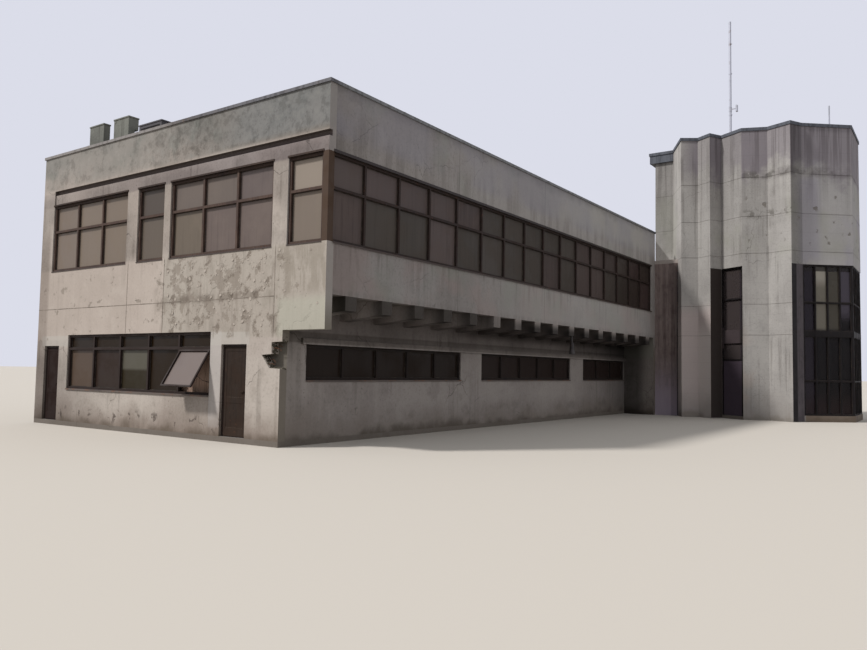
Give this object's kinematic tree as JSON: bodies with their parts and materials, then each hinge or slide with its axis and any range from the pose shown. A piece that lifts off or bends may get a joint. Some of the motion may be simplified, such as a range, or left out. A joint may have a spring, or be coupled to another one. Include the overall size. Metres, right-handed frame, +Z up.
{
  "type": "factory office building",
  "caption": "Concrete factory office building: a two-storey block with an overhanging upper floor and ribbon windows, and a taller pleated concrete tower at one end.",
  "frame": {"origin": "ground level, under the middle of the copings' outline box, without the window that stands open", "axes": "+X along the long side from the end wall towards the tower, +Y from the overhung long side towards the party wall, +Z up"},
  "size_m": [25.5047, 18.22, 16.83],
  "materials": {
    "end_concrete": "weathered pale concrete with peeling paint",
    "long_concrete": "weathered grey concrete",
    "base_concrete": "stained grey concrete",
    "tower_concrete": "board-marked concrete, dark towards the top",
    "floor_concrete": "trowelled concrete",
    "coping_metal": "dark weathered sheet metal",
    "window_frame": "dark brown paint",
    "curtain_frame": "near-black paint",
    "door_paint": "dark brown paint, worn",
    "glazing": "dusty, slightly tinted",
    "link_panel": "dark brown sheet",
    "vent_render": "weathered render",
    "mast_steel": "pale grey, galvanised"
  },
  "bodies": {
    "building": {"ground_slab": "floor_concrete", "first_floor_slab": "floor_concrete", "roof_slab": "floor_concrete", "cantilever_ribs": "base_concrete", "end_pier_left": "end_concrete", "end_pier_right": "end_concrete", "end_wall_middle": "end_concrete", "door_lintels": "end_concrete", "end_spandrel": "end_concrete", "end_window_piers": "end_concrete", "end_parapet": "end_concrete", "long_spandrel": "long_concrete", "long_parapet": "long_concrete", "long_wall_ground": "base_concrete", "corner_column": "base_concrete", "party_wall": "end_concrete", "far_end_wall": "end_concrete", "block_coping": "coping_metal", "long_window_frames": "window_frame", "long_window_glass": "glazing", "long_strip_frames": "window_frame", "long_strip_glass": "glazing", "end_window_frames": "window_frame", "end_window_glass": "glazing", "far_window_frames": "window_frame", "far_window_glass": "glazing", "end_door_frames": "window_frame", "roof_vents": "vent_render", "tower_floors": "floor_concrete", "tower_fin_a": "tower_concrete", "tower_fin_b": "tower_concrete", "tower_far_wall": "tower_concrete", "tower_upper_walls": "tower_concrete", "tower_coping": "coping_metal", "tower_eaves_fascia": "tower_concrete", "curtain_plinth": "tower_concrete", "curtain_frame": "curtain_frame", "curtain_glass": "glazing", "recess_screens": "curtain_frame", "recess_glass": "glazing", "roof_masts": "mast_steel", "link_panel": "link_panel", "link_shell": "base_concrete"},
    "left_leaf": {"end_door_left": "door_paint"},
    "right_leaf": {"end_door_right": "door_paint"},
    "recess_leaf": {"recess_door": "door_paint"}
  },
  "joints": [
    {"name": "left_door_hinge", "type": "hinge", "parent": "building", "child": "left_leaf", "pos_m": [-12.37833, 8.616, 0.12], "axis": [0, 0, 1], "range_deg": [0, 90]},
    {"name": "right_door_hinge", "type": "hinge", "parent": "building", "child": "right_leaf", "pos_m": [-12.37833, 1.076, 0.12], "axis": [0, 0, 1], "range_deg": [0, 90]},
    {"name": "recess_door_hinge", "type": "hinge", "parent": "building", "child": "recess_leaf", "pos_m": [6.66695, -5.51919, 0.12], "axis": [0, 0, -1], "range_deg": [0, 90]}
  ]
}
